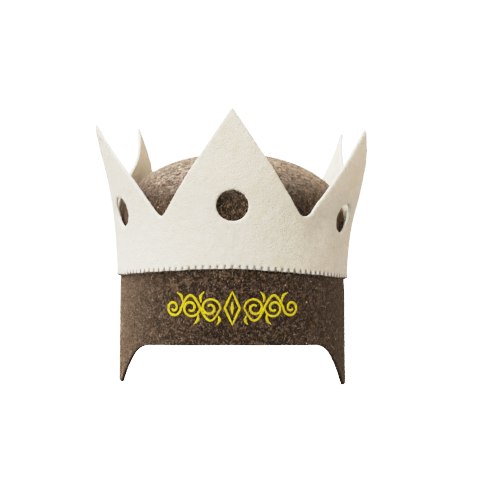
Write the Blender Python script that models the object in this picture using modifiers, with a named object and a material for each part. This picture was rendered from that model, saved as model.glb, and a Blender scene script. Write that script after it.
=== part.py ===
"""Felt crown hat: a brown felt cap with two ear flaps, and a pale felt crown of six points sewn round it.

Metres, +Z up. The origin is the middle of the head opening, level with the cap's front edge. The wearer
looks along -Y, and +X is on the right of someone who faces the wearer.

Places round the head are distances along the cap's oval, in metres, counted from the middle of the front
and growing towards +X.
"""

import math
from collections import namedtuple

import bmesh
import bpy
import numpy as np
from mathutils import Vector
from mathutils.geometry import delaunay_2d_cdt

# The cap, measured to the outside of its felt
CAP_HALF_WIDTH = 0.0900
CAP_HALF_DEPTH = 0.1080
CAP_HEIGHT = 0.1480
DOME_RISE = 0.0500
CAP_FELT = 0.0028
EDGE_SAG = 0.0035

# The ear flaps: lengths along the cap's edge, and the drop below that edge
FLAP_DROP = 0.0312
FLAP_ROOT_HALF = 0.0604
FLAP_TIP_HALF = 0.0213
FLAP_ROOT_FILLET = 0.0380
FLAP_CORNER_RADIUS = 0.0080
FLAP_FORWARD = 0.0080
FLAP_SPLAY = 0.0008

# The crown: a strip of felt with points, sewn to the cap along its lower edge
CROWN_FELT = 0.0027
SEAT_GAP = 0.0003
SEAM_HEIGHT = 0.0564
SEAM_SAG = 0.0073
SEAM_TILT = 0.0014
SEAM_PINCH = 0.0009
BAND_HEIGHT = 0.0415
POINT_HEIGHT = 0.0750
POINT_LEAN = 0.0280
NOTCH_RADIUS = 0.0040
HOLE_DIAMETER = 0.0228
HOLE_RISE = 0.0462

# How finely the felt is divided
CAP_STEP = 0.0070
DOME_ROWS = 9
CROWN_STEP = 0.0072
HOLE_SIDES = 24
ARC_STEPS = 4
WELD = 0.00002

Flap = namedtuple("Flap", "side drop")
FLAPS = (
    Flap(side=-1, drop=0.96),
    Flap(side=1, drop=1.04),
)

# The rows of the cap's wall, from its cut edge up. The skirt runs up to the seam and the band from there
# to the dome. Pinch is how far the stitches pull the wall in, as a share of SEAM_PINCH.
WallRow = namedtuple("WallRow", "span share pinch")
WALL = (
    WallRow(span="skirt", share=0.00, pinch=0.0),
    WallRow(span="skirt", share=0.24, pinch=0.0),
    WallRow(span="skirt", share=0.48, pinch=0.0),
    WallRow(span="skirt", share=0.72, pinch=0.0),
    WallRow(span="skirt", share=0.93, pinch=0.2),
    WallRow(span="skirt", share=1.00, pinch=1.0),
    WallRow(span="band", share=0.34, pinch=1.0),
    WallRow(span="band", share=0.67, pinch=1.0),
    WallRow(span="band", share=1.00, pinch=1.0),
)

# One row for each point, from the back left round to the back. Width is its share of an even sixth of the
# girth, and hole and rise are its shares of HOLE_RISE and POINT_HEIGHT. Notch, lower, upper and tip are how
# far it stands off the cap at the notches, a third and two thirds of the way up, and at its tip, and twist
# is how much further one side edge does than the other: all shares of POINT_LEAN.
Point = namedtuple("Point", "place width hole rise twist notch lower upper tip")
POINTS = (
    Point("back left", width=1.03, hole=1.00, rise=1.04, twist=-0.6,
          notch=0.06, lower=-0.03, upper=-0.25, tip=-0.06),
    Point("front left", width=0.95, hole=1.05, rise=0.97, twist=0.0,
          notch=0.10, lower=0.32, upper=0.61, tip=0.96),
    Point("front", width=1.05, hole=1.01, rise=1.00, twist=0.0,
          notch=0.12, lower=0.27, upper=0.48, tip=0.72),
    Point("front right", width=0.93, hole=1.00, rise=0.95, twist=0.4,
          notch=0.15, lower=0.42, upper=0.66, tip=0.88),
    Point("back right", width=1.03, hole=1.00, rise=1.02, twist=0.7,
          notch=0.10, lower=0.20, upper=0.22, tip=0.44),
    Point("back", width=1.01, hole=1.00, rise=1.00, twist=0.0,
          notch=0.12, lower=0.25, upper=0.42, tip=0.60),
)

BROWN_FELT = (0.130, 0.092, 0.064, 1.0)
PALE_FELT = (0.780, 0.740, 0.640, 1.0)
FELT_ROUGHNESS = 0.95

# Angles round the oval and the distance along it at each
_ANGLES = np.linspace(0.0, 2.0 * math.pi, 1441)
_SPEEDS = np.hypot(CAP_HALF_WIDTH * np.cos(_ANGLES), CAP_HALF_DEPTH * np.sin(_ANGLES))
_DISTANCES = np.concatenate([[0.0], np.cumsum((_SPEEDS[1:] + _SPEEDS[:-1]) / 2 * np.diff(_ANGLES))])
GIRTH = float(_DISTANCES[-1])
TIP_HEIGHT = BAND_HEIGHT + POINT_HEIGHT


def angle_at(distance):
    """The oval's angle, 0 at the front, at a distance round it."""
    return float(np.interp(distance % GIRTH, _DISTANCES, _ANGLES))


def oval_point(angle, outward, height, share=1.0):
    """A point on the cap's oval, made smaller by share and then moved outward along the oval's normal."""
    place = Vector((CAP_HALF_WIDTH * math.sin(angle), -CAP_HALF_DEPTH * math.cos(angle), 0.0)) * share
    normal = Vector((math.sin(angle) / CAP_HALF_WIDTH, -math.cos(angle) / CAP_HALF_DEPTH, 0.0)).normalized()
    return place + normal * outward + Vector((0.0, 0.0, height))


def fillet(before, corner, after, radius):
    """Points on an arc of the given radius that rounds a corner between two straight lines."""
    corner = Vector(corner)
    into, out = (Vector(before) - corner).normalized(), (Vector(after) - corner).normalized()
    half = into.angle(out) / 2
    reach = min(radius / math.tan(half), 0.45 * (Vector(after) - corner).length)
    start, end = corner + into * reach, corner + out * reach
    centre = corner + (into + out).normalized() * (reach / math.cos(half))
    arc = [start.lerp(end, step / ARC_STEPS) - centre for step in range(ARC_STEPS + 1)]
    return [centre + spoke.normalized() * (start - centre).length for spoke in arc]


def flap_outline():
    """One side of a flap's edge: distance from its middle, and the share of its drop, from the tip up."""
    tip, corner = (0.0, FLAP_DROP), (FLAP_TIP_HALF, FLAP_DROP)
    root, beyond = (FLAP_ROOT_HALF, 0.0), (FLAP_ROOT_HALF + FLAP_ROOT_FILLET, 0.0)
    low = fillet(tip, corner, root, FLAP_CORNER_RADIUS)
    high = fillet(corner, root, beyond, FLAP_ROOT_FILLET)
    middle = [low[-1].lerp(high[0], share) for share in (1 / 3, 2 / 3)]
    tip_points = [low[0] * share for share in (0.0, 0.5)]
    return [(point.x, point.y / FLAP_DROP) for point in low + middle + high], len(tip_points)


FLAP_OUTLINE, FLAP_TIP_COLUMNS = flap_outline()


def flap_at(distance):
    """How far the flaps hang below the cap's edge at a distance round it."""
    reaches, drops = zip(*FLAP_OUTLINE)
    total = 0.0
    for flap in FLAPS:
        middle = (GIRTH / 4 - FLAP_FORWARD) * flap.side
        away = abs((distance - middle + GIRTH / 2) % GIRTH - GIRTH / 2)
        total += flap.drop * FLAP_DROP * float(np.interp(away, reaches, drops))
    return total


def cap_columns():
    """Distances of the cap's columns: at each point of the flaps' outlines, and evenly between the flaps."""
    reaches = [reach for reach, _ in FLAP_OUTLINE]
    tip = [reaches[0] * step / FLAP_TIP_COLUMNS for step in range(FLAP_TIP_COLUMNS)]
    half_flap = tip + reaches
    right, left = GIRTH / 4 - FLAP_FORWARD, 3 * GIRTH / 4 + FLAP_FORWARD
    columns = []
    for middle, following in ((right, left), (left, right + GIRTH)):
        columns += [middle + reach for reach in half_flap] + [middle - reach for reach in half_flap[1:]]
        gap = following - middle - 2 * reaches[-1]
        count = round(gap / CAP_STEP)
        columns += [middle + reaches[-1] + gap * step / count for step in range(1, count)]
    start = min(columns)
    return sorted(columns) + [start + GIRTH]


def cap_point(distance, row):
    """A point on the outside of the cap, in a column and a row counted up from the cut edge."""
    angle = angle_at(distance)
    if row >= len(WALL):
        climb = (row + 1 - len(WALL)) / DOME_ROWS * math.pi / 2
        height = CAP_HEIGHT - DOME_RISE * (1.0 - math.sin(climb))
        return oval_point(angle, -SEAM_PINCH * math.cos(climb), height, math.cos(climb))
    wall = WALL[row]
    drop = flap_at(distance)
    edge, seam = -EDGE_SAG * math.sin(angle) ** 2 - drop, seam_height(angle)
    low, high = (edge, seam) if wall.span == "skirt" else (seam, CAP_HEIGHT - DOME_RISE)
    height = low + (high - low) * wall.share
    splay = FLAP_SPLAY * (drop / FLAP_DROP) * ((seam - height) / (seam - edge)) ** 2
    return oval_point(angle, splay - SEAM_PINCH * wall.pinch, height)


def seam_height(angle):
    """Height of the crown's sewn lower edge, which hangs a little lower over the ears and to the right."""
    return SEAM_HEIGHT - SEAM_SAG * abs(math.sin(angle)) ** 1.5 - SEAM_TILT * math.sin(angle)


def smooth_curve(places, values, place):
    """The value at a place on a smooth curve through a few values, level at its start."""
    low = max(0, min(len(places) - 2, int(np.searchsorted(places, place, side="right")) - 1))
    slopes = np.gradient(values, places)
    slopes[0] = 0.0
    width = places[low + 1] - places[low]
    share = (place - places[low]) / width
    start = values[low] * (1 + 2 * share) + slopes[low] * width * share
    end = values[low + 1] * (3 - 2 * share) - slopes[low + 1] * width * (1 - share)
    return float(start * (1 - share) ** 2 + end * share**2)


def point_spans():
    """Where each point starts, has its middle and ends, with the front one's middle at distance 0."""
    pitch = GIRTH / sum(point.width for point in POINTS)
    ends = np.cumsum([0.0] + [point.width * pitch for point in POINTS])
    front = [point.place for point in POINTS].index("front")
    ends -= (ends[front] + ends[front + 1]) / 2
    return [(float(low), float(low + high) / 2, float(high)) for low, high in zip(ends, ends[1:])]


SPANS = point_spans()


def climb_at(height):
    """How far up its point a height on the flat strip is: 0 at the notches and 1 at the tip."""
    return max(0.0, (height - BAND_HEIGHT) / POINT_HEIGHT)


def point_at(distance):
    """The point at a distance round the oval, and how far off its middle that is, from -1 to 1."""
    for index, (low, middle, high) in enumerate(SPANS):
        if distance <= high or index == len(SPANS) - 1:
            return index, 2 * (distance - middle) / (high - low)


def stand_off(distance, height):
    """How far the crown stands off its seat, blended smoothly from one point's row to the next."""
    index, side = point_at(distance)
    point, beside = POINTS[index], POINTS[(index + (1 if side > 0 else -1)) % len(POINTS)]
    share = (1.0 - math.cos(math.pi * side / 2)) / 2
    heights = [0.0] + [BAND_HEIGHT + POINT_HEIGHT * third / 3 for third in range(4)]
    rows = [np.array([0.0, row.notch, row.lower, row.upper, row.tip]) for row in (point, beside)]
    lean = smooth_curve(heights, rows[0] * (1.0 - share) + rows[1] * share, height)
    return POINT_LEAN * (lean + point.twist * side * climb_at(height) ** 2)


def crown_point(distance, height):
    """Where a place on the flat strip lies on the inner face of the finished crown."""
    index, _ = point_at(distance)
    middle, point = SPANS[index][1], POINTS[index]
    outward = stand_off(distance, height)
    opened = max(0.0, outward - stand_off(distance, min(height, BAND_HEIGHT)))
    radius = GIRTH / (2 * math.pi)
    angle = angle_at(middle + (distance - middle) * radius / (radius + opened))
    raised = height + (point.rise - 1.0) * POINT_HEIGHT * climb_at(height)
    return oval_point(angle, SEAT_GAP - SEAM_PINCH + outward, seam_height(angle) + raised)


def crown_outline():
    """The flat strip's outline: a straight lower edge, and points with straight sides and rounded notches."""
    first, last = SPANS[0][0], SPANS[-1][2]
    half = GIRTH / len(POINTS) / 2
    corner = BAND_HEIGHT - NOTCH_RADIUS * (1 / math.sin(math.atan2(half, POINT_HEIGHT)) - 1)
    notch = fillet((-half, TIP_HEIGHT), (0.0, corner), (half, TIP_HEIGHT), NOTCH_RADIUS)[::-1]
    middle = len(notch) // 2
    outline = [(first, 0.0), (last, 0.0)]
    outline += [(last + point.x, point.y) for point in notch[middle:]]
    for low, centre, _ in reversed(SPANS):
        outline.append((centre, TIP_HEIGHT))
        cut = notch if low > first else notch[: middle + 1]
        outline += [(low + point.x, point.y) for point in cut]
    return outline


def crown_holes():
    """A ring of places round each point's hole."""
    turns = [2 * math.pi * step / HOLE_SIDES for step in range(HOLE_SIDES)]
    radius = HOLE_DIAMETER / 2
    rings = []
    for point, (_, middle, _) in zip(POINTS, SPANS):
        rise = HOLE_RISE * point.hole
        rings.append([(middle + radius * math.cos(turn), rise + radius * math.sin(turn)) for turn in turns])
    return rings


def crown_sheet():
    """The flat strip as a mesh of small cells, so that it can bend: its points and its faces."""
    places, edges, loops = [], [], []
    for loop in [crown_outline()] + crown_holes():
        loops.append(list(range(len(places), len(places) + len(loop))))
        places += loop
    first, last = SPANS[0][0], SPANS[-1][2]
    columns = []
    for low, _, high in SPANS:
        count = 2 * round((high - low) / CROWN_STEP / 2)
        columns += [low + (high - low) * step / count for step in range(count)]
    for column in columns[1:]:
        edges.append((len(places), len(places) + 1))
        places += [(column, 0.0), (column, TIP_HEIGHT)]
    rows = round(TIP_HEIGHT / CROWN_STEP)
    for row in range(1, rows):
        height = TIP_HEIGHT * row / rows
        edges.append((len(places), len(places) + 1))
        places += [(first, height), (last, height)]
    flat = [Vector(place) for place in places]
    corners, _, faces, _, _, sources = delaunay_2d_cdt(flat, edges, loops, 4, 1e-7)
    return corners, [face for face, source in zip(faces, sources) if source == [0]]


def mesh_object(name, mesh_data, colour, felt, outward):
    """Puts a felt piece in the hat's collection and gives its surface the felt's thickness."""
    mesh = bpy.data.meshes.new(name)
    mesh_data.to_mesh(mesh)
    mesh_data.free()
    mesh.shade_smooth()
    mesh.set_sharp_from_angle(angle=math.radians(40))
    piece = bpy.data.objects.new(name, mesh)
    HAT.objects.link(piece)
    wall = piece.modifiers.new("felt", "SOLIDIFY")
    wall.thickness = felt
    wall.offset = 1.0 if outward else -1.0
    wall.use_even_offset = True
    wall.use_quality_normals = True
    material = bpy.data.materials.new(name)
    material.use_nodes = True
    shader = material.node_tree.nodes["Principled BSDF"]
    shader.inputs["Base Color"].default_value = colour
    shader.inputs["Roughness"].default_value = FELT_ROUGHNESS
    shader.inputs["Metallic"].default_value = 0.0
    material.diffuse_color = colour
    mesh.materials.append(material)
    return piece


def face_outward(sheet):
    """Turns every face of a ring or a dome of felt away from the head."""
    sheet.normal_update()
    if sum(face.normal.dot(face.calc_center_median()) for face in sheet.faces) < 0:
        bmesh.ops.reverse_faces(sheet, faces=sheet.faces)


def build_cap():
    """The brown cap: a grid of columns and rows, wrapped round the head and closed at the top."""
    columns = cap_columns()
    rows = len(WALL) - 1 + DOME_ROWS
    sheet = bmesh.new()
    bmesh.ops.create_grid(sheet, x_segments=len(columns) - 1, y_segments=rows, size=0.5)
    for vertex in sheet.verts:
        column = round((vertex.co.x + 0.5) * (len(columns) - 1))
        row = round((vertex.co.y + 0.5) * rows)
        vertex.co = cap_point(columns[column], row)
    bmesh.ops.remove_doubles(sheet, verts=sheet.verts, dist=WELD)
    face_outward(sheet)
    return mesh_object("felt_cap", sheet, BROWN_FELT, CAP_FELT, outward=False)


def build_crown():
    """The pale crown: its flat strip with points and holes, wrapped round the cap and joined at its ends."""
    places, faces = crown_sheet()
    sheet = bmesh.new()
    verts = [sheet.verts.new(crown_point(place.x, place.y)) for place in places]
    for face in faces:
        sheet.faces.new([verts[index] for index in face])
    loose = [vertex for vertex in sheet.verts if not vertex.link_faces]
    bmesh.ops.delete(sheet, geom=loose, context="VERTS")
    bmesh.ops.remove_doubles(sheet, verts=sheet.verts, dist=WELD)
    face_outward(sheet)
    return mesh_object("felt_crown", sheet, PALE_FELT, CROWN_FELT, outward=True)


for old in list(bpy.data.objects):
    bpy.data.objects.remove(old)

HAT = bpy.data.collections.new("crown_hat")
bpy.context.scene.collection.children.link(HAT)
build_cap()
build_crown()
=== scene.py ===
"""The looks of the felt crown hat: woolly felt, the sewn seam, the embroidery and the studio."""

import math
import random

import bmesh
import bpy
import numpy as np
from mathutils import Matrix, Vector
from mathutils.bvhtree import BVHTree


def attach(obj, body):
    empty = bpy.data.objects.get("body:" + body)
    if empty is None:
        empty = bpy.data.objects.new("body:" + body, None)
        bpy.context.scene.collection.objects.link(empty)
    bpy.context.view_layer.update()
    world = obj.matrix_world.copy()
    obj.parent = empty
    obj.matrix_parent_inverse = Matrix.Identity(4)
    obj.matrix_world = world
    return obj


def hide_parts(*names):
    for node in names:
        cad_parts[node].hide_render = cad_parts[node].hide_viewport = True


bl_info = {
    "name": "Felt crown hat",
    "version": (1, 0, 0),
    "blender": (4, 5, 0),
    "location": "View3D > Sidebar > Hat",
    "description": "Felt, stitches and embroidery for the crown hat, and a white studio",
    "category": "Object",
}

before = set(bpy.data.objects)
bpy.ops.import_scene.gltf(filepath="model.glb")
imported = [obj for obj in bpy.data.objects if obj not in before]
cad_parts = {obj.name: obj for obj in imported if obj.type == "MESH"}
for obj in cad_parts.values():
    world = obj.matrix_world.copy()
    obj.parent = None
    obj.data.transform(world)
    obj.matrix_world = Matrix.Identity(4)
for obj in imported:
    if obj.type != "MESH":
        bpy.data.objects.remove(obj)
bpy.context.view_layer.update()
BODY = "root"
POINTS = 6
OVAL_STEPS = 1440

# Lengths in metres, with heights counted from the cap's front edge
WELD = 0.00002  # vertices closer than this are one
SKIRT = (0.02, 0.04)  # where the cap's wall is upright all round
DOME = (0.104, 0.134)  # where the wall turns into the dome
POINTS_RISE = (0.100, 0.135)  # where the strip turns into its points
DOME_CENTRE = 0.085  # the middle of the rounded inside
TOP_RADIUS = 0.016  # how much of the dome's middle is smoothed
SEAM_FACES = 0.015  # the sewn edge's faces lie this close above the strip's lowest place
TIP_TOP = 0.0006  # what is this close below a point's highest place is its tip
TIP_REACH = 0.026  # how far down from a tip the felt is drawn out again
OFF_THE_WALL = 0.030  # how far outside the oval a search for a surface starts
SEARCH = 0.050  # how far inwards it goes on
HOLE_WIDTH = 0.0008
HOLE_HEIGHT = 0.0009
HOLE_DEPTH = 0.0008

# A fibre's radius as a share of its length, and how far it bends over, in radians
SHORT_FIBRE = (0.045, 0.9)
LONG_STRAND = (0.040, 1.50)

# The white room's size and brightness, and where the lights are aimed
ROOM_RADIUS = 6.0
ROOM_GLOW = 6.0
AIM = (0.0, 0.0, 0.08)


def number(name, description, default, low=0.0, high=10.0, **more):
    """A plain number for a property group."""
    return bpy.props.FloatProperty(
        name=name, description=description, default=default, min=low, max=high, precision=5, **more
    )


def length(name, description, default):
    """A length in metres for a property group."""
    return number(name, description, default, 0.0, 3.0, subtype="DISTANCE", unit="LENGTH")


def colour(name, description, default):
    """A colour for a property group."""
    return bpy.props.FloatVectorProperty(
        name=name, description=description, default=default, size=3, min=0.0, max=1.0, subtype="COLOR"
    )


def count(name, description, default):
    """A whole number for a property group."""
    return bpy.props.IntProperty(name=name, description=description, default=default, min=0, max=100000)


class CapFelt(bpy.types.PropertyGroup):
    """The brown cap's felt"""

    dark: colour("Dark wool", "The darkest fibres of the mixed wool", (0.0075, 0.0040, 0.0020))
    mid: colour("Brown wool", "The main colour of the mixed wool", (0.038, 0.0193, 0.0092))
    warm: colour("Warm wool", "The lighter clumps in the mixed wool", (0.163, 0.101, 0.059))
    light: colour("Light wool", "The pale fibres mixed into the wool", (0.44, 0.35, 0.26))
    # Painted highlight: paler clumps on the dome only, standing in for the light from above and the sheen
    # the dome catches
    worn_tip_and_dome_highlight: colour("Worn wool", "The paler clumps that stand out on the dome", (0.430, 0.366, 0.306))
    straw: colour("Straw", "Bits of straw left in the wool", (0.60, 0.42, 0.25))
    # A darker red-brown for the cap's lowest cut edges
    cut: colour("Cut edge", "The raw edge, where the dyed wool shows red", (0.085, 0.036, 0.022))
    sheen: colour("Sheen", "Light caught by the standing fibres", (1.0, 0.69, 0.44))
    rounding: length("Edge rounding", "How far the cut edge is rounded", 0.0008)
    lumps: length("Lumps", "Height of the felt's unevenness", 0.0005)
    fibres: count("Loose fibres", "Short loose fibres on the outside", 9000)
    fibre_length: length("Fibre length", "Length of a loose fibre", 0.0020)
    kemps: count("Pale strands", "Long pale strands lying on the outside", 1400)
    kemp_length: length("Strand length", "Length of a long pale strand", 0.0042)


class CrownFelt(bpy.types.PropertyGroup):
    """The pale crown's felt"""

    base: colour("Cream wool", "The main colour of the pale wool", (0.815, 0.766, 0.655))
    shade: colour("Shaded wool", "The slightly darker patches", (0.750, 0.690, 0.565))
    warm: colour("Warm wool", "Faint yellowish patches", (0.790, 0.680, 0.495))
    # Painted light: a paler, warmer felt on the points and the inner face, standing in for light shining
    # through the felt
    thin: colour("Thin wool", "The paler felt of the points and the inner face", (0.925, 0.830, 0.665))
    speck: colour("Specks", "Bits of straw left in the wool", (0.62, 0.38, 0.17))
    # Painted highlight: a lighter colour along every cut edge of the crown, where the rims catch the light
    cut: colour("Cut edge", "The clean cut edge", (0.870, 0.840, 0.770))
    # Painted highlight: the felt painted whiter where it swells between two stitches
    puff: colour("Puffs", "The swollen felt between two stitches", (0.940, 0.930, 0.900))
    # Painted shade: the stitch holes painted near-black, standing in for the shadow in them
    hole: colour("Stitch holes", "The felt pulled in where a stitch goes through", (0.060, 0.036, 0.022))
    sheen: colour("Sheen", "Light caught by the standing fibres", (1.0, 0.97, 0.90))
    voxel: length("Voxel", "Size of the cells that round the felt's edges", 0.00120)
    lumps: length("Lumps", "Height of the felt's unevenness", 0.0005)
    dent: length("Dent", "Depth of the soft dent below the notch on the right", 0.0025)
    dent_place: length("Dent's place", "Distance of the dent round from the middle of the front", 0.0690)
    dent_height: length("Dent's height", "Height of the dent's middle above the front edge", 0.0860)
    dent_width: length("Dent's width", "How far the dent reaches to each side", 0.0110)
    dent_lean: number("Dent's lean", "How much the dent runs to the side as it goes down", 0.5)
    by_hand: number("Hand cutting", "How far the notches are off an even cut, as a share", 1.0, 0.0, 2.0)
    fibres: count("Loose fibres", "Loose fibres on the strip", 9000)
    fibre_length: length("Fibre length", "Length of a loose fibre", 0.0016)


class SeamStitches(bpy.types.PropertyGroup):
    """The overcast stitches along the crown's lower edge"""

    thread: colour("Thread", "Sewing thread", (0.300, 0.220, 0.150))
    under: colour("Thread shade", "The darker side of the thread", (0.130, 0.088, 0.055))
    pitch: length("Pitch", "Distance from stitch to stitch", 0.0053)
    height: length("Height", "How far above the edge a stitch goes in", 0.0021)
    diameter: length("Thread diameter", "Thickness of the sewing thread", 0.00055)
    puff: length("Puff", "How far the felt swells between two stitches", 0.0007)


class Embroidery(bpy.types.PropertyGroup):
    """The satin-stitched scroll on the cap's front"""

    thread: colour("Thread", "Yellow embroidery thread", (0.980, 0.820, 0.003))
    under: colour("Thread shade", "The darker side of the thread", (0.400, 0.290, 0.002))
    scale: number("Scale", "Size of the scroll, 1 being 105 mm wide", 1.0, 0.2, 3.0)
    rise: length("Rise", "Height of the scroll's middle above the front edge", 0.0275)
    stroke: length("Stroke width", "Length of a satin stitch", 0.0017)
    diameter: length("Thread diameter", "Thickness of the embroidery thread", 0.00042)


class Studio(bpy.types.PropertyGroup):
    """The camera, the lights and the white room"""

    distance: length("Camera distance", "From the camera to the hat's middle", 1.25)
    eye: length("Camera height", "Height above the front edge", 0.072)
    lens: number("Lens", "Focal length in millimetres", 116.66, 10.0, 300.0)
    shift: number("Shift", "How far the frame is moved, as a share of its side", 0.0160, -1.0, 1.0)
    floor: length("Floor depth", "How far the floor is below the front edge", 0.30)
    key: number("Key light", "Power of the light from the left", 32.5, 0.0, 500.0)
    top: number("Top light", "Power of the light from above and the left", 22.0, 0.0, 500.0)
    side: number("Side light", "Power of the weak warm light from the right", 2.9, 0.0, 500.0)
    inner: number("Inner light", "Power of the low light on the far points", 1.15, 0.0, 500.0)
    fill: number("Fill", "Strength of the light from all round", 0.44, 0.0, 5.0)


def settings(name):
    """One of the property groups of this scene."""
    return getattr(bpy.context.scene, name)


# Selecting and modelling

def select_only(*pieces):
    """Leaves only these objects selected, and makes the first one active."""
    bpy.ops.object.select_all(action="DESELECT")
    for piece in pieces:
        piece.select_set(True)
    bpy.context.view_layer.objects.active = pieces[0]


def edit(piece, select_all=True):
    """Opens a piece in edit mode, with all or none of it selected."""
    select_only(piece)
    bpy.ops.object.mode_set(mode="EDIT")
    bpy.ops.mesh.select_all(action="SELECT" if select_all else "DESELECT")


def done():
    """Leaves edit mode."""
    bpy.ops.object.mode_set(mode="OBJECT")


def copy_of_node(node, name):
    """A copy of a CAD node with its loose triangles merged and paired into quads."""
    piece = bpy.data.objects.new(name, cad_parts[node].data.copy())
    bpy.context.scene.collection.objects.link(piece)
    piece.data.materials.clear()
    edit(piece)
    bpy.ops.mesh.remove_doubles(threshold=WELD)
    bpy.ops.mesh.tris_convert_to_quads(face_threshold=math.radians(60), shape_threshold=math.radians(60))
    done()
    return piece


def apply_modifier(piece, kind, **values):
    """Adds a modifier, sets it and applies it."""
    select_only(piece)
    bpy.ops.object.modifier_add(type=kind)
    modifier = piece.modifiers[-1]
    for name, value in values.items():
        setattr(modifier, name, value)
    bpy.ops.object.modifier_apply(modifier=modifier.name)


def smooth_shading(piece):
    """Shades a piece smooth all over."""
    select_only(piece)
    bpy.ops.object.shade_smooth()


def positions(piece):
    """A piece's vertices as an array."""
    places = np.empty(len(piece.data.vertices) * 3)
    piece.data.vertices.foreach_get("co", places)
    return places.reshape(-1, 3)


def normals(piece):
    """The directions a piece's vertices face, as an array."""
    facing = np.empty(len(piece.data.vertices) * 3)
    piece.data.vertices.foreach_get("normal", facing)
    return facing.reshape(-1, 3)


def move_to(piece, places):
    """Puts a piece's vertices at these places."""
    piece.data.vertices.foreach_set("co", places.ravel())
    piece.data.update()


def paint(piece, name, values):
    """Stores one number for each vertex, which a material reads by name."""
    layer = piece.data.attributes.new(name, "FLOAT", "POINT")
    layer.data.foreach_set("value", np.asarray(values, float))


def smooth_step(low, high, values):
    """0 below low, 1 above high, and an even ramp between."""
    share = np.clip((values - low) / (high - low), 0.0, 1.0)
    return share * share * (3.0 - 2.0 * share)


def cloud_lumps(piece, name, size, height):
    """Raises and sinks a surface gently, as hand-made felt is uneven."""
    clouds = bpy.data.textures.new(name, "CLOUDS")
    clouds.noise_scale = size
    clouds.noise_depth = 2
    apply_modifier(
        piece, "DISPLACE", texture=clouds, texture_coords="LOCAL", strength=height, mid_level=0.5
    )


def hand_over(piece, slot, *nodes):
    """Hangs a finished piece on the body it rides on and hides the CAD nodes it stands for; the finish it
    is given is not used.
    """
    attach(piece, BODY)
    if nodes:
        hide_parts(*nodes)


# The oval round the head, as the CAD cap has it

class Oval:
    """The cap's outline from above: places on it by the distance round from the front."""

    def __init__(self):
        wall = np.array([vertex.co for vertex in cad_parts["felt_cap"].data.vertices])
        skirt = wall[(wall[:, 2] > SKIRT[0]) & (wall[:, 2] < SKIRT[1])]
        self.half_width = float(np.abs(skirt[:, 0]).max())
        self.half_depth = float(np.abs(skirt[:, 1]).max())
        self.angles = np.linspace(-math.pi, math.pi, OVAL_STEPS + 1)
        speeds = np.hypot(self.half_width * np.cos(self.angles), self.half_depth * np.sin(self.angles))
        steps = (speeds[1:] + speeds[:-1]) / 2 * np.diff(self.angles)
        self.distances = np.concatenate([[0.0], np.cumsum(steps)])
        self.distances -= self.distances[-1] / 2
        self.girth = float(self.distances[-1] * 2)

    def angle_of(self, places):
        """The angle round the oval of each place, 0 at the front and growing towards +X."""
        return np.arctan2(places[:, 0] / self.half_width, -places[:, 1] / self.half_depth)

    def distance_of(self, places):
        """The distance round the oval of each place."""
        return np.interp(self.angle_of(places), self.angles, self.distances)

    def outward(self, angles):
        """The oval's outward direction at each angle."""
        sideways = np.sin(angles) / self.half_width
        backwards = -np.cos(angles) / self.half_depth
        facing = np.stack([sideways, backwards, 0.0 * angles], 1)
        return facing / np.linalg.norm(facing, axis=1, keepdims=True)

    def wrapped(self, flat):
        """Flat places, as distance round, height and stand-off, wrapped onto the cap's wall."""
        angles = np.interp(flat[:, 0], self.distances, self.angles)
        round_it = np.stack(
            [self.half_width * np.sin(angles), -self.half_depth * np.cos(angles), flat[:, 1]], 1
        )
        return round_it + self.outward(angles) * flat[:, 2:3]


OVAL = Oval()


def facing_out(piece):
    """How far each vertex faces away from the oval: 1 straight out, -1 straight in, 0 along the wall."""
    return (normals(piece) * OVAL.outward(OVAL.angle_of(positions(piece)))).sum(1)


def faces_of(piece):
    """A search tree over a piece's faces."""
    sheet = bmesh.new()
    sheet.from_mesh(piece.data)
    tree = BVHTree.FromBMesh(sheet)
    sheet.free()
    return tree


def stand_off(tree, flat):
    """How far a finished surface stands off the oval at each flat place."""
    far = np.array(flat, float)
    far[:, 2] = OFF_THE_WALL
    starts = OVAL.wrapped(far)
    inward = -OVAL.outward(np.interp(far[:, 0], OVAL.distances, OVAL.angles))
    found = []
    for start, way in zip(starts, inward):
        hit = tree.ray_cast(Vector(start), Vector(way), SEARCH)[3]
        found.append(OFF_THE_WALL - hit if hit else 0.0)
    return np.array(found)


def seam_line():
    """The crown's sewn lower edge, as rows of distance round the oval and height, from back to back."""
    sheet = bmesh.new()
    sheet.from_mesh(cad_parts["felt_crown"].data)
    bmesh.ops.remove_doubles(sheet, verts=sheet.verts, dist=WELD)
    sheet.normal_update()
    found = {}
    lowest = min(vertex.co.z for vertex in sheet.verts)
    for face in sheet.faces:
        if face.normal.z < -0.9 and face.calc_center_median().z < lowest + SEAM_FACES:
            for vertex in face.verts:
                found[vertex.index] = vertex.co.copy()
    sheet.free()
    places = np.array(list(found.values()))
    rows = np.stack([OVAL.distance_of(places), places[:, 2]], 1)
    rows = rows[np.argsort(rows[:, 0])]
    return rows[:, 0], rows[:, 1]


# Materials

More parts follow.
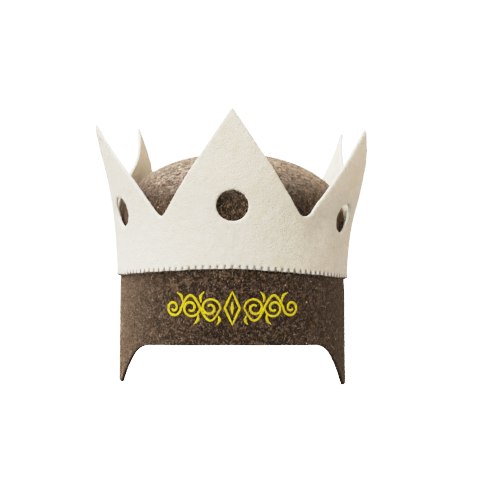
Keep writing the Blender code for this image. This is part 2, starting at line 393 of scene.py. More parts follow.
class Nodes:
    """Adds nodes to a material, each linked to what feeds it."""

    def __init__(self, name):
        self.material = bpy.data.materials.new(name)
        self.material.use_nodes = True
        self.tree = self.material.node_tree
        self.shader = self.tree.nodes["Principled BSDF"]
        coordinates = self.tree.nodes.new("ShaderNodeTexCoord")
        self.place = coordinates.outputs["Object"]

    def add(self, kind, choices=None, **inputs):
        """A node of a kind, with its own choices and its inputs by name."""
        node = self.tree.nodes.new("ShaderNode" + kind)
        for name, value in (choices or {}).items():
            setattr(node, name, value)
        for name, value in inputs.items():
            self.feed(node.inputs[name], value)
        return node

    def feed(self, socket, value):
        """Links an output to a socket, or sets the socket's own value."""
        if isinstance(value, bpy.types.NodeSocket):
            self.tree.links.new(value, socket)
        else:
            socket.default_value = value

    def mapped(self, scale, turn):
        """Object coordinates, stretched and turned."""
        node = self.add("Mapping", Vector=self.place)
        node.inputs["Scale"].default_value = scale
        node.inputs["Rotation"].default_value = turn
        return node.outputs["Vector"]

    def noise(self, scale, detail=3.0, roughness=0.6, vector=None):
        """Noise on the object's own coordinates, with scale counted per metre."""
        vector = self.place if vector is None else vector
        node = self.add("TexNoise", Vector=vector, Scale=scale, Detail=detail, Roughness=roughness)
        return node.outputs["Fac"]

    def ramp(self, value, low, high, first=0.0, last=1.0):
        """A value stretched from one range to another and kept inside it."""
        node = self.add("MapRange", {"clamp": True}, Value=value)
        for name, end in (("From Min", low), ("From Max", high), ("To Min", first), ("To Max", last)):
            self.feed(node.inputs[name], end)
        return node.outputs["Result"]

    def mix(self, share, first, second):
        """Two colours mixed by a share."""
        node = self.add("Mix", {"data_type": "RGBA"})
        self.feed(node.inputs[0], share)
        for socket, value in ((node.inputs[6], first), (node.inputs[7], second)):
            self.feed(socket, value if isinstance(value, bpy.types.NodeSocket) else (*value, 1.0))
        return node.outputs[2]

    def math(self, operation, first, second):
        """Two numbers put together."""
        node = self.add("Math", {"operation": operation})
        self.feed(node.inputs[0], first)
        self.feed(node.inputs[1], second)
        return node.outputs[0]

    def attribute(self, name):
        """A number painted on the vertices."""
        return self.add("Attribute", {"attribute_name": name}).outputs["Fac"]

    def bump(self, height, distance, strength):
        """Turns the surface's facing by a height in metres."""
        node = self.add("Bump", Height=height, Distance=distance, Strength=strength)
        self.feed(self.shader.inputs["Normal"], node.outputs["Normal"])

    def finish(self, base, roughness, sheen, tint, sheen_roughness=0.5):
        """Sets the shader's own sockets for a matt, woolly surface."""
        self.feed(self.shader.inputs["Base Color"], base)
        self.feed(self.shader.inputs["Roughness"], roughness)
        self.feed(self.shader.inputs["Specular IOR Level"], 0.15)
        self.feed(self.shader.inputs["Sheen Weight"], sheen)
        self.feed(self.shader.inputs["Sheen Roughness"], sheen_roughness)
        self.feed(self.shader.inputs["Sheen Tint"], (*tint, 1.0))
        return self.material


def flecks(nodes, per_metre, size, share):
    """Small round flecks in a share of the cells of a Voronoi pattern, with its cells counted per metre."""
    cells = nodes.add("TexVoronoi", Vector=nodes.place, Scale=per_metre)
    near = nodes.ramp(cells.outputs["Distance"], size * 0.6, size, 1.0, 0.0)
    picked = nodes.add("SeparateColor", Color=cells.outputs["Color"])
    chosen = nodes.ramp(picked.outputs["Red"], 1.0 - share, 1.0 - share + 0.02)
    return nodes.math("MULTIPLY", near, chosen)


def clumps(nodes, per_metre):
    """A tone from 0 to 1 for each ragged clump of wool, with the clumps counted per metre."""
    warp = nodes.add("TexNoise", Vector=nodes.place, Scale=per_metre * 1.7, Detail=2.0)
    moved = nodes.add("VectorMath", {"operation": "MULTIPLY_ADD"})
    nodes.feed(moved.inputs[0], warp.outputs["Color"])
    nodes.feed(moved.inputs[1], (1.4 / per_metre,) * 3)
    nodes.feed(moved.inputs[2], nodes.place)
    cells = nodes.add("TexVoronoi", Vector=moved.outputs[0], Scale=per_metre)
    return nodes.add("SeparateColor", Color=cells.outputs["Color"]).outputs["Red"]


def brown_felt(felt):
    """Mixed brown wool with dark, tan and white fibres and a red-brown cut edge, with a painted highlight
    on the dome and painted shade on the flaps' cut edges.
    """
    nodes = Nodes("brown_felt_wool")
    base = nodes.mix(nodes.ramp(clumps(nodes, 1000.0), 0.05, 0.80), felt.dark, felt.mid)
    base = nodes.mix(nodes.ramp(clumps(nodes, 860.0), 0.72, 0.95, 0.0, 0.72), base, felt.warm)
    dome = nodes.attribute("dome")
    # Painted highlight: paler clumps and pale specks on the dome only, for the light from above and the
    # sheen there
    worn_tip_and_dome_highlight = nodes.ramp(clumps(nodes, 560.0), 0.15, 0.85, 0.05, 1.0)
    base = nodes.mix(nodes.math("MULTIPLY", worn_tip_and_dome_highlight, dome), base, felt.worn_tip_and_dome_highlight)
    specks = nodes.math("MULTIPLY", nodes.ramp(clumps(nodes, 640.0), 0.86, 0.94), dome)
    base = nodes.mix(nodes.math("MULTIPLY", specks, 0.8), base, felt.light)
    pits = nodes.ramp(clumps(nodes, 700.0), 0.08, 0.18, 0.70, 0.0)
    base = nodes.mix(pits, base, felt.dark)
    base = nodes.mix(nodes.ramp(clumps(nodes, 430.0), 0.76, 0.96, 0.0, 0.56), base, felt.warm)
    base = nodes.mix(nodes.ramp(clumps(nodes, 470.0), 0.04, 0.26, 0.75, 0.0), base, felt.dark)
    for turn in ((0.3, 0.0, 0.4), (-0.9, 0.5, 1.2), (1.4, -0.6, 2.3), (0.1, 1.3, 0.2)):
        strands = nodes.noise(1.0, 1.0, 0.5, nodes.mapped((1300.0, 1300.0, 520.0), turn))
        base = nodes.mix(nodes.ramp(strands, 0.69, 0.74, 0.0, 0.50), base, felt.light)
    base = nodes.mix(flecks(nodes, 125.0, 0.110, 0.12), base, felt.straw)
    # The cap's lowest cut edges turn a darker red-brown
    base = nodes.mix(nodes.math("MULTIPLY", nodes.attribute("cut_edge"), 0.85), base, felt.cut)
    # Painted shade: the flaps' cut edges darkened, standing in for the shade on them
    base = nodes.mix(nodes.math("MULTIPLY", nodes.attribute("flap_edge"), 0.90), base, felt.dark)
    rough = nodes.ramp(nodes.noise(300.0), 0.3, 0.7, 0.86, 1.0)
    height = nodes.math("ADD", nodes.noise(1300.0, 3.0, 0.7), nodes.noise(520.0, 2.0, 0.5))
    nodes.bump(height, 0.0008, 1.0)
    return nodes.finish(base, rough, 0.33, felt.sheen, 0.31)


def cream_felt(felt):
    """Pale wool with faint patches and a few specks of straw, painted light through the points and on the
    inner face, white puffs at the seam and a lighter cut edge as painted highlights, and painted shade in
    the stitch holes.
    """
    nodes = Nodes("cream_felt_wool")
    patches = nodes.ramp(nodes.noise(170.0, 4.0, 0.7), 0.40, 0.60)
    base = nodes.mix(patches, felt.base, felt.shade)
    fine = nodes.ramp(nodes.noise(820.0, 3.0, 0.7), 0.35, 0.65, 0.0, 0.60)
    base = nodes.mix(fine, base, felt.shade)
    # Painted light shining through the points and the inner face
    base = nodes.mix(nodes.math("MULTIPLY", nodes.attribute("thin"), 0.60), base, felt.thin)
    warm = nodes.ramp(nodes.noise(55.0, 3.0, 0.6), 0.50, 0.72, 0.0, 0.55)
    base = nodes.mix(warm, base, felt.warm)
    base = nodes.mix(nodes.math("MULTIPLY", flecks(nodes, 90.0, 0.085, 0.22), 0.70), base, felt.speck)
    # Painted highlight along the crown's cut edges
    base = nodes.mix(nodes.attribute("cut_edge"), base, felt.cut)
    # Painted highlight on the swells between the stitches
    base = nodes.mix(nodes.attribute("puff"), base, felt.puff)
    # Painted shade in the stitch holes
    base = nodes.mix(nodes.attribute("stitch_hole"), base, felt.hole)
    rough = nodes.ramp(nodes.noise(240.0), 0.3, 0.7, 0.88, 1.0)
    height = nodes.math("ADD", nodes.noise(900.0, 3.0, 0.6), nodes.noise(220.0, 3.0, 0.6))
    nodes.bump(height, 0.0011, 0.9)
    return nodes.finish(base, rough, 0.25, felt.sheen)


def thread_material(name, first, second, grain, sheen):
    """Twisted thread: two tones in fine slanting bands along it."""
    nodes = Nodes(name)
    twist = nodes.noise(1.0, 2.0, 0.5, nodes.mapped((grain, grain, grain * 0.4), (0.5, 0.4, 0.3)))
    base = nodes.mix(nodes.ramp(twist, 0.35, 0.65), first, second)
    rough = nodes.ramp(twist, 0.3, 0.7, 0.45, 0.70)
    nodes.bump(twist, 0.00012, 0.8)
    return nodes.finish(base, rough, sheen, (1.0, 1.0, 0.9))


# The pieces

def bent_fibre(thickness, lean):
    """One fibre a metre long, to be scaled down: a slender three-sided cone, bent over as it rises."""
    bpy.ops.mesh.primitive_cone_add(
        vertices=3, radius1=thickness, radius2=0.0, depth=1.0, location=(0.0, 0.0, 0.5)
    )
    fibre = bpy.context.active_object
    bpy.ops.object.transform_apply(location=True, rotation=False, scale=False)
    for height in (0.33, 0.68):
        edit(fibre)
        bpy.ops.mesh.bisect(plane_co=(0.0, 0.0, height), plane_no=(0.0, 0.0, 1.0))
        done()
    places = positions(fibre)
    up = places[:, 2].copy()
    turn = lean * up**1.4
    places[:, 0] += np.sin(turn) * up
    places[:, 1] += 0.12 * np.sin(up * 5.0)
    places[:, 2] = np.cos(turn) * up - 0.08
    move_to(fibre, places)
    return fibre


def loose_fibres(name, surface, material, amount, fibre_length, shape_of_one, tilt, seed):
    """Wool fibres scattered over a surface as one joined mesh."""
    strand = bent_fibre(*shape_of_one)
    tree = bpy.data.node_groups.new(name, "GeometryNodeTree")
    tree.interface.new_socket("Geometry", in_out="INPUT", socket_type="NodeSocketGeometry")
    tree.interface.new_socket("Geometry", in_out="OUTPUT", socket_type="NodeSocketGeometry")
    add, link = tree.nodes.new, tree.links.new
    start, end = add("NodeGroupInput"), add("NodeGroupOutput")
    scatter = add("GeometryNodeDistributePointsOnFaces")
    area = sum(face.area for face in surface.data.polygons)
    scatter.inputs["Density"].default_value = amount / area
    scatter.inputs["Seed"].default_value = seed
    turn = add("FunctionNodeRandomValue")
    turn.data_type = "FLOAT_VECTOR"
    turn.inputs[0].default_value = (-tilt, -tilt, 0.0)
    turn.inputs[1].default_value = (tilt, tilt, 2 * math.pi)
    rotate = add("FunctionNodeRotateRotation")
    rotate.rotation_space = "LOCAL"
    grow = add("FunctionNodeRandomValue")
    grow.inputs[2].default_value = fibre_length * 0.4
    grow.inputs[3].default_value = fibre_length * 1.3
    grow.inputs["Seed"].default_value = seed + 1
    shape = add("GeometryNodeObjectInfo")
    shape.inputs["Object"].default_value = strand
    place = add("GeometryNodeInstanceOnPoints")
    real = add("GeometryNodeRealizeInstances")
    finish = add("GeometryNodeSetMaterial")
    finish.inputs["Material"].default_value = material
    link(start.outputs[0], scatter.inputs["Mesh"])
    link(scatter.outputs["Points"], place.inputs["Points"])
    link(scatter.outputs["Rotation"], rotate.inputs["Rotation"])
    link(turn.outputs[0], rotate.inputs["Rotate By"])
    link(rotate.outputs[0], place.inputs["Rotation"])
    link(shape.outputs["Geometry"], place.inputs["Instance"])
    link(grow.outputs[1], place.inputs["Scale"])
    link(place.outputs[0], real.inputs[0])
    link(real.outputs[0], finish.inputs["Geometry"])
    link(finish.outputs[0], end.inputs[0])

    fibres = bpy.data.objects.new(name, surface.data.copy())
    bpy.context.scene.collection.objects.link(fibres)
    fibres.data.materials.clear()
    fibres.data.materials.append(material)
    apply_modifier(fibres, "NODES", node_group=tree)
    bpy.data.objects.remove(strand)
    smooth_shading(fibres)
    return fibres


def fibre_material(name, first, second):
    """One wool fibre after another, in two tones."""
    nodes = Nodes(name)
    tone = nodes.ramp(nodes.noise(420.0, 2.0, 0.5), 0.40, 0.60)
    return nodes.finish(nodes.mix(tone, first, second), 0.85, 0.30, (1.0, 0.95, 0.88))


class HAT_OT_cap(bpy.types.Operator):
    """Make the brown cap: rounded cut edges, an uneven woolly surface and loose fibres"""

    bl_idname = "hat.cap"
    bl_label = "Cap"

    def execute(self, context):
        felt = settings("hat_cap")
        cap = copy_of_node("felt_cap", "cap_of_brown_felt")
        edit(cap, select_all=False)
        bpy.ops.mesh.select_mode(type="EDGE")
        bpy.ops.mesh.edges_select_sharp(sharpness=math.radians(55))
        bpy.ops.mesh.bevel(offset=felt.rounding, segments=2, profile=0.5, clamp_overlap=True)
        done()
        apply_modifier(cap, "SUBSURF", levels=2, render_levels=2)
        round_the_top(cap)
        cloud_lumps(cap, "cap_lumps_wide", 0.030, felt.lumps)
        cloud_lumps(cap, "cap_lumps_fine", 0.0045, felt.lumps * 0.5)
        heights = positions(cap)[:, 2]
        edge = 1.0 - smooth_step(0.35, 0.85, np.abs(facing_out(cap)))
        # The dome mask carries the brown felt's painted highlight
        paint(cap, "dome", smooth_step(*DOME, heights))
        # The cap's lowest cut edges, to be painted a darker red-brown
        paint(cap, "cut_edge", edge * (1.0 - smooth_step(0.004, 0.010, heights)))
        # Painted shade on the flaps' cut edges
        paint(cap, "flap_edge", edge * (1.0 - smooth_step(-0.004, 0.002, heights)))
        smooth_shading(cap)
        cap.data.materials.append(brown_felt(felt))
        hand_over(cap, "brown_felt", "felt_cap")
        wool = fibre_material("brown_fibre", felt.mid, felt.light)
        shell = outside_of(cap)
        fuzz = loose_fibres(
            "cap_fibres", shell, wool, felt.fibres, felt.fibre_length, SHORT_FIBRE, tilt=0.4, seed=11
        )
        hand_over(fuzz, "brown_felt")
        pale = fibre_material("pale_strand", felt.light, felt.straw)
        kemps = loose_fibres(
            "cap_strands", shell, pale, felt.kemps, felt.kemp_length, LONG_STRAND, tilt=0.05, seed=17
        )
        hand_over(kemps, "brown_felt")
        bpy.data.objects.remove(shell)
        return {"FINISHED"}


def round_the_top(cap):
    """Smooths the middle of the dome, where the columns of faces meet."""
    edit(cap, select_all=False)
    bpy.ops.mesh.select_mode(type="VERT")
    done()
    places = positions(cap)
    near = np.hypot(places[:, 0], places[:, 1]) < TOP_RADIUS
    cap.data.vertices.foreach_set("select", near & (places[:, 2] > DOME[0]))
    bpy.ops.object.mode_set(mode="EDIT")
    bpy.ops.mesh.vertices_smooth(factor=0.5, repeat=12)
    done()


def outside_of(piece):
    """A throw-away copy of a piece's outer faces, for fibres to stand on."""
    shell = bpy.data.objects.new("outside", piece.data.copy())
    bpy.context.scene.collection.objects.link(shell)
    sheet = bmesh.new()
    sheet.from_mesh(shell.data)
    inner = [face for face in sheet.faces if not faces_out(face)]
    bmesh.ops.delete(sheet, geom=inner, context="FACES")
    sheet.to_mesh(shell.data)
    sheet.free()
    return shell


def faces_out(face):
    """Whether a face looks away from the inside of the head opening."""
    middle = face.calc_center_median()
    away = Vector((middle.x, middle.y, max(0.0, middle.z - DOME_CENTRE)))
    return face.normal.dot(away) > 0


class HAT_OT_crown(bpy.types.Operator):
    """Make the pale crown: soft edges, hand-cut notches, a dent, puffs along the seam and loose fibres"""

    bl_idname = "hat.crown"
    bl_label = "Crown"

    def execute(self, context):
        felt, seam = settings("hat_crown"), settings("hat_seam")
        crown = copy_of_node("felt_crown", "crown_of_cream_felt")
        apply_modifier(crown, "REMESH", mode="VOXEL", voxel_size=felt.voxel, adaptivity=0.0)
        apply_modifier(crown, "SMOOTH", factor=0.5, iterations=3)
        sharpen_the_tips(crown)
        cut_by_hand(crown, felt.by_hand)
        dent_the_strip(crown, felt)
        shape_the_strip(crown, seam)
        cloud_lumps(crown, "crown_lumps_wide", 0.035, felt.lumps * 1.6)
        cloud_lumps(crown, "crown_lumps_fine", 0.006, felt.lumps * 0.6)
        heights, outwards = positions(crown)[:, 2], facing_out(crown)
        # The crown's cut edges, to carry a painted highlight
        paint(crown, "cut_edge", 1.0 - smooth_step(0.40, 0.80, np.abs(outwards)))
        # Painted light: the points, and the inner face more, get a paler, warmer colour, standing in for
        # light shining through the felt
        inside = smooth_step(0.0, 0.5, -outwards)
        thin = smooth_step(*POINTS_RISE, heights + 0.035 * inside)
        paint(crown, "thin", thin * (1.0 + 0.6 * inside))
        smooth_shading(crown)
        crown.data.materials.append(cream_felt(felt))
        hand_over(crown, "cream_felt", "felt_crown")
        wool = fibre_material("cream_fibre", felt.base, felt.cut)
        fuzz = loose_fibres(
            "crown_fibres", crown, wool, felt.fibres, felt.fibre_length, SHORT_FIBRE, tilt=0.4, seed=23
        )
        hand_over(fuzz, "cream_felt")
        return {"FINISHED"}


def point_tips(places):
    """The highest place of each of the six points, from the back left round to the back."""
    distances = (OVAL.distance_of(places) / OVAL.girth * POINTS + 0.5) % POINTS
    tips = []
    for point in range(POINTS):
        own = places[distances.astype(int) == point]
        top = own[own[:, 2] > own[:, 2].max() - TIP_TOP]
        tips.append(top.mean(0))
    return tips


def sharpen_the_tips(crown):
    """Draws each tip out again to where the CAD has it, because rounding the felt has blunted it."""
    real = point_tips(positions(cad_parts["felt_crown"]))
    places = positions(crown)
    for tip, worn_tip_and_dome_highlight in zip(real, point_tips(places)):
        near = np.linalg.norm(places - worn_tip_and_dome_highlight, axis=1)
        share = 1.0 - np.clip(near / TIP_REACH, 0.0, 1.0)
        places += (tip - worn_tip_and_dome_highlight) * share[:, None]
    move_to(crown, places)


# Where the notches are off an even cut: distance round from the front's middle and height of the place, how
# far the felt is moved round and up there, and how far that reaches, in metres
HAND_CUTS = (
    (0.0588, 0.0979, 0.0028, 0.0000, 0.0055),
    (0.0555, 0.0940, 0.0000, 0.0012, 0.0055),
    (-0.1640, 0.1040, 0.0038, 0.0000, 0.0190),
)


def cut_by_hand(crown, share):
    """Moves the edges of some notches a little, as each was cut by hand."""
    for place, height, sideways, up, reach in HAND_CUTS:
        places = positions(crown)
        off = ((OVAL.distance_of(places) - place) ** 2 + (places[:, 2] - height) ** 2) / reach**2
        near = share * np.exp(-off)[:, None]
        outward = OVAL.outward(OVAL.angle_of(places))
        tangent = np.stack([-outward[:, 1], outward[:, 0], outward[:, 2]], 1)
        move_to(crown, places + near * (tangent * sideways + np.array([0.0, 0.0, up])))


def dent_the_strip(crown, felt):
    """Presses a soft dent into the strip, a little taller than it is wide."""
    places = positions(crown)
    up = (places[:, 2] - felt.dent_height) / (felt.dent_width * 1.3)
    across = (OVAL.distance_of(places) - felt.dent_place) / felt.dent_width + felt.dent_lean * up
    depth = felt.dent * np.exp(-(across**2) - up**2)
    move_to(crown, places - OVAL.outward(OVAL.angle_of(places)) * depth[:, None])


def shape_the_strip(crown, seam):
    """Makes the strip's lower edge swell between the stitches and sinks a hole for each stitch, with a
    painted highlight on the swells and painted shade in the holes.
    """
    places = positions(crown)
    distances = OVAL.distance_of(places)
    outward = OVAL.outward(OVAL.angle_of(places))
    edge_distances, edge_heights = seam_line()
    above = places[:, 2] - np.interp(distances, edge_distances, edge_heights)
    wave = 0.5 + 0.5 * np.cos(2 * math.pi * (distances / OVAL.girth * stitch_count(seam) + 0.5))
    near_edge = 1.0 - smooth_step(seam.height * 0.6, seam.height * 1.6, above)
    pitch = OVAL.girth / stitch_count(seam)
    from_hole = np.abs((distances / pitch + 0.5) % 1.0 - 0.5) * pitch
    hole = np.exp(-((from_hole / HOLE_WIDTH) ** 2 + ((above - seam.height) / HOLE_HEIGHT) ** 2))
    out = seam.puff * (wave - 0.45) * near_edge - HOLE_DEPTH * hole
    move_to(crown, places + outward * out[:, None])
    # Painted highlight: the swells between the stitches painted whiter
    paint(crown, "puff", np.clip(wave * 1.6 - 0.5, 0.0, 1.0) * near_edge)
    # Painted shade in each stitch hole
    paint(crown, "stitch_hole", np.clip(hole * 1.3, 0.0, 1.0))


def stitch_count(seam):
    """The whole number of stitches that goes round the oval at about the seam's pitch."""
    return round(OVAL.girth / seam.pitch)


class HAT_OT_seam(bpy.types.Operator):
    """Sew the crown on: one overcast stitch modelled and copied all the way round"""

    bl_idname = "hat.seam"
    bl_label = "Seam stitches"

    def execute(self, context):
        seam = settings("hat_seam")
        one = overcast_stitch(seam)
        edge_distances, edge_heights = seam_line()
        strip = faces_of(bpy.data.objects["crown_of_cream_felt"])
        chance = random.Random(5)
        amount = stitch_count(seam)
        copies = []
        for place in range(amount):
            along = OVAL.girth * (place / amount - 0.5)
            lean = math.radians(chance.uniform(-9.0, 9.0))
            stretch = chance.uniform(0.85, 1.10)
            stitch = one.copy()
            stitch.data = one.data.copy()
            bpy.context.scene.collection.objects.link(stitch)
            turned = Matrix.Rotation(lean, 4, "Z")
            stitch.data.transform(turned @ Matrix.Scale(stretch, 4, Vector((0, 1, 0))))
            flat = positions(stitch)
            height = float(np.interp(along, edge_distances, edge_heights))
            shift = stand_off(strip, [(along, height + seam.height * 0.5, 0.0)])[0]
            flat += np.array([along, height, shift])
            move_to(stitch, OVAL.wrapped(flat))
            copies.append(stitch)
        bpy.data.objects.remove(one)
        select_only(*copies)
        bpy.ops.object.join()
        stitches = bpy.context.active_object
        stitches.name = "seam_stitches"
        edit(stitches)
        bpy.ops.mesh.normals_make_consistent(inside=False)
        done()
        smooth_shading(stitches)
        thread = thread_material("seam_thread", seam.thread, seam.under, 2600.0, 0.20)
        stitches.data.materials.append(thread)
        hand_over(stitches, "brown_felt")
        return {"FINISHED"}


def overcast_stitch(seam):
    """One stitch, flat: across in X, up in Y and out in Z from the seam's outer edge."""
    bpy.ops.curve.primitive_bezier_curve_add()
    thread = bpy.context.active_object
    spline = thread.data.splines[0]
    spline.bezier_points.add(3)
    path = (
        (0.0, -0.0010, -0.0034),
        (0.0, -0.0004, -0.0012),
        (0.0, 0.0003, 0.0002),
        (0.0, seam.height * 0.6, 0.0002),
        (0.0, seam.height, -0.0008),
    )
    for point, place in zip(spline.bezier_points, path):
        point.co = place
        point.handle_left_type = point.handle_right_type = "AUTO"
    thread.data.resolution_u = 3
    thread.data.bevel_depth = seam.diameter / 2
    thread.data.bevel_resolution = 1
    thread.data.use_fill_caps = True
    select_only(thread)
    bpy.ops.object.convert(target="MESH")
    return thread


def volute(middle, outer, inner, start, sweep, steps=16):
    """Places along a spiral that winds inwards round a middle, with angles in degrees."""
    places = []
    for step in range(steps + 1):
        share = step / steps
        angle = math.radians(start + sweep * share)
        radius = outer + (inner - outer) * share**0.85
        places.append((middle + radius * math.cos(angle), radius * math.sin(angle)))
    return places


def wave_stem(start, end, height, steps=16):
    """Places along a stem that runs under the first volute and over the second."""
    places = []
    for step in range(steps + 1):
        share = step / steps
        places.append((start + (end - start) * share, -height * math.sin(2 * math.pi * share)))
    return places


# The right half of the scroll, flat and in millimetres from its middle: name, places and stroke widths
# as shares of the full width, at the start, the middle and the end. The left half is its mirror image.
SCROLL = (
    ("stem", wave_stem(8.4, 38.6, 9.2), (0.7, 1.1, 1.0)),
    ("first volute", volute(16.2, 7.8, 1.7, 180, -500), (0.8, 1.1, 0.9)),
    ("second volute", volute(31.0, 7.4, 1.7, 180, 500), (0.8, 1.1, 0.9)),
    ("last volute", volute(45.4, 6.8, 1.5, 180, 510), (1.0, 1.1, 0.9)),
    ("lower bud", ((9.9, -5.8), (9.2, -8.8), (11.2, -12.2)), (0.5, 1.3, 0.3)),
    ("upper bud", ((22.9, 4.4), (23.2, 8.4), (20.4, 12.2)), (0.5, 1.3, 0.3)),
    ("middle bud", ((25.2, -4.4), (25.4, -8.6), (28.6, -12.2)), (0.5, 1.3, 0.3)),
    ("outer bud", ((37.4, 4.6), (38.6, 8.8), (42.6, 11.4)), (0.5, 1.3, 0.3)),
)
LOZENGE = ((0.0, 12.0), (5.4, 0.0), (0.0, -12.0), (-5.4, 0.0))
LOZENGE_HEART = ((0.0, 4.6), (0.0, 0.0), (0.0, -4.6))


def satin_line(name, path, widths, closed, work):
    """One line of satin stitches along a flat path: a thread arrayed on a curve."""
    flat = [(x * work.scale / 1000, y * work.scale / 1000, 0.0) for x, y in path]
    shares = np.interp(np.linspace(0, 1, len(flat)), (0.0, 0.5, 1.0), widths)
    bpy.ops.curve.primitive_bezier_curve_add()
    guide = bpy.context.active_object
    guide.data.dimensions = "2D"
    spline = guide.data.splines[0]
    spline.bezier_points.add(len(flat) - 2)
    kind = "VECTOR" if closed else "AUTO"
    for point, place, share in zip(spline.bezier_points, flat, shares):
        point.co = place
        point.radius = share
        point.handle_left_type = point.handle_right_type = kind
    spline.use_cyclic_u = closed
    guide.data.resolution_u = 24
    bpy.ops.mesh.primitive_cylinder_add(
        vertices=6, radius=work.diameter / 2, depth=work.stroke, rotation=(math.pi / 2, 0.0, 0.0)
    )
    thread = bpy.context.active_object
    thread.name = name
    bpy.ops.object.transform_apply(location=False, rotation=True, scale=False)
    edit(thread)
    for share in (0.25, 0.0, -0.25):
        bpy.ops.mesh.select_all(action="SELECT")
        bpy.ops.mesh.bisect(plane_co=(0, work.stroke * share, 0), plane_no=(0, 1, 0))
    done()
    places = positions(thread)
    share = places[:, 1] / (work.stroke / 2)
    places[:, 2] += work.diameter * (0.75 - share**2)
    move_to(thread, places)
    step = (work.diameter * 0.88, 0.0, 0.0)
    apply_modifier(
        thread, "ARRAY", fit_type="FIT_CURVE", curve=guide,
        use_relative_offset=False, use_constant_offset=True, constant_offset_displace=step,
    )
    apply_modifier(thread, "CURVE", object=guide, deform_axis="POS_X")
    bpy.data.objects.remove(guide)
    return thread


class HAT_OT_embroidery(bpy.types.Operator):
    """Embroider the scroll on the cap's front in satin stitch"""

    bl_idname = "hat.embroidery"
    bl_label = "Embroidery"

    def execute(self, context):
        work = settings("hat_embroidery")
        lines = []
        for name, path, widths in SCROLL:
            for side in (-1, 1):
                lines.append(satin_line(name, [(x * side, y) for x, y in path], widths, False, work))
        lines.append(satin_line("lozenge", LOZENGE, (1.0, 1.0, 1.0), True, work))
        lines.append(satin_line("lozenge heart", LOZENGE_HEART, (0.4, 1.6, 0.4), False, work))
        select_only(*lines)
        bpy.ops.object.join()
        scroll = bpy.context.active_object
        scroll.name = "scroll_embroidery"
        flat = positions(scroll)
        flat[:, 1] += work.rise
        flat[:, 2] += stand_off(faces_of(bpy.data.objects["cap_of_brown_felt"]), flat)
        move_to(scroll, OVAL.wrapped(flat))
        edit(scroll)
        bpy.ops.mesh.normals_make_consistent(inside=False)
        done()
        smooth_shading(scroll)
        yellow = thread_material("embroidery_thread", work.thread, work.under, 1900.0, 0.02)
        scroll.data.materials.append(yellow)
        hand_over(scroll, "cream_felt")
        return {"FINISHED"}


# The lights: name, place, size and tint. The power of each is a setting of the studio
LIGHTS = (
    ("key", (-0.76, -1.37, 0.75), 0.7, (1.0, 0.99, 0.97)),
    ("top", (-0.65, 0.15, 1.05), 0.6, (1.0, 0.98, 0.95)),
    ("side", (1.42, -0.30, 0.50), 0.9, (1.0, 0.86, 0.71)),
    ("inner", (0.62, 0.05, 0.24), 0.25, (1.0, 0.90, 0.79)),
)


def area_light(name, place, size, tint, power):
    """A soft square light aimed at the hat."""
    bpy.ops.object.light_add(type="AREA", location=place)
    light = bpy.context.active_object
    light.name = name
    light.data.size = size
    light.data.energy = power
    light.data.color = tint
    light.rotation_euler = (Vector(AIM) - Vector(place)).to_track_quat("-Z", "Y").to_euler()


# How bright a light is shown, from the scene's own value to the picture's, up to white
TONE_WHITE = 4.0
TONES = ((0.22, 0.22), (0.45, 0.45), (0.80, 0.70), (1.20, 0.815), (2.00, 0.91))


def plain_white(name):
    """A white that shows as white without lighting the hat."""
    nodes = Nodes(name)
    nodes.feed(nodes.shader.inputs["Base Color"], (0.9, 0.9, 0.9, 1.0))
    nodes.feed(nodes.shader.inputs["Roughness"], 1.0)
    nodes.feed(nodes.shader.inputs["Emission Color"], (1.0, 1.0, 1.0, 1.0))
    nodes.feed(nodes.shader.inputs["Emission Strength"], ROOM_GLOW)
    return nodes.material


def soft_highlights(view):
    """Keeps the darker tones and draws the lightest ones together, as a studio photograph does."""
    view.view_transform = "Standard"
    view.use_curve_mapping = True
    view.curve_mapping.white_level = (TONE_WHITE,) * 3
    curve = view.curve_mapping.curves[3]
    curve.points[0].location = (0.0, 0.0)
    curve.points[1].location = (1.0, 1.0)
    for light, shown in TONES:
        curve.points.new(light / TONE_WHITE, shown)
    view.curve_mapping.update()


def hide_from_light(thing):
    """Keeps a stage object out of the light that falls on the hat."""
    thing.visible_diffuse = False
    thing.visible_glossy = False
    thing.visible_transmission = False
    thing.visible_shadow = False


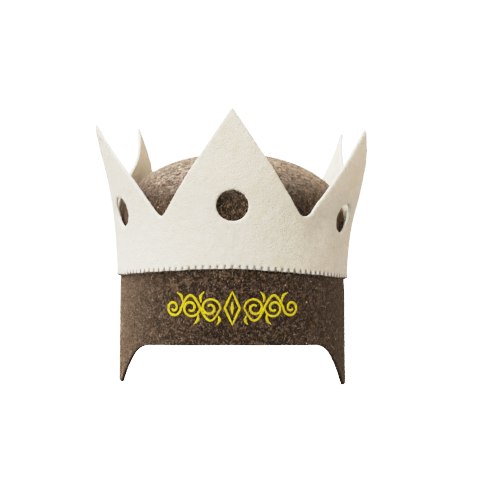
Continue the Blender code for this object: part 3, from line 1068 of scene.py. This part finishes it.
class HAT_OT_studio(bpy.types.Operator):
    """Set up the camera, the lights, the floor and the white room"""

    bl_idname = "hat.studio"
    bl_label = "Studio"

    def execute(self, context):
        room = settings("hat_studio")
        bpy.ops.object.camera_add(
            location=(0.0, -room.distance, room.eye), rotation=(math.pi / 2, 0.0, 0.0)
        )
        camera = context.active_object
        camera.data.lens = room.lens
        camera.data.sensor_width = 36.0
        camera.data.shift_x = room.shift
        camera.data.shift_y = room.shift
        context.scene.camera = camera
        for name, place, size, tint in LIGHTS:
            area_light(name, place, size, tint, getattr(room, name))

        world = bpy.data.worlds.new("studio")
        world.use_nodes = True
        background = world.node_tree.nodes["Background"]
        background.inputs["Color"].default_value = (1.0, 0.96, 0.90, 1.0)
        background.inputs["Strength"].default_value = room.fill
        context.scene.world = world
        soft_highlights(context.scene.view_settings)

        bpy.ops.mesh.primitive_circle_add(
            vertices=96, radius=ROOM_RADIUS, fill_type="NGON", location=(0.0, 0.0, -room.floor)
        )
        floor = context.active_object
        floor.name = "floor"
        floor.data.materials.append(plain_white("floor_white"))
        hide_from_light(floor)
        bpy.ops.mesh.primitive_uv_sphere_add(
            segments=48, ring_count=24, radius=ROOM_RADIUS, location=(0.0, 0.0, 0.0)
        )
        walls = context.active_object
        walls.name = "white_room"
        edit(walls)
        bpy.ops.mesh.flip_normals()
        done()
        walls.data.materials.append(plain_white("room_white"))
        hide_from_light(walls)
        return {"FINISHED"}


class HAT_PT_panel(bpy.types.Panel):
    """Lists the hat's pieces and their sizes and colours"""

    bl_label = "Felt crown hat"
    bl_idname = "HAT_PT_panel"
    bl_space_type = "VIEW_3D"
    bl_region_type = "UI"
    bl_category = "Hat"

    def draw(self, context):
        for operator, group in STEPS:
            box = self.layout.box()
            box.operator(operator.bl_idname)
            values = getattr(context.scene, group)
            for name in values.bl_rna.properties.keys():
                if name not in ("rna_type", "name"):
                    box.prop(values, name)


GROUPS = (
    ("hat_cap", CapFelt),
    ("hat_crown", CrownFelt),
    ("hat_seam", SeamStitches),
    ("hat_embroidery", Embroidery),
    ("hat_studio", Studio),
)
STEPS = (
    (HAT_OT_cap, "hat_cap"),
    (HAT_OT_crown, "hat_crown"),
    (HAT_OT_seam, "hat_seam"),
    (HAT_OT_embroidery, "hat_embroidery"),
    (HAT_OT_studio, "hat_studio"),
)


def register():
    for name, group in GROUPS:
        bpy.utils.register_class(group)
        setattr(bpy.types.Scene, name, bpy.props.PointerProperty(type=group))
    for operator, _ in STEPS:
        bpy.utils.register_class(operator)
    bpy.utils.register_class(HAT_PT_panel)


def unregister():
    bpy.utils.unregister_class(HAT_PT_panel)
    for operator, _ in reversed(STEPS):
        bpy.utils.unregister_class(operator)
    for name, group in reversed(GROUPS):
        delattr(bpy.types.Scene, name)
        bpy.utils.unregister_class(group)


def main():
    """Makes the pieces and the studio in order."""
    register()
    bpy.ops.hat.cap()
    bpy.ops.hat.crown()
    bpy.ops.hat.seam()
    bpy.ops.hat.embroidery()
    bpy.ops.hat.studio()


if __name__ == "__main__":
    main()
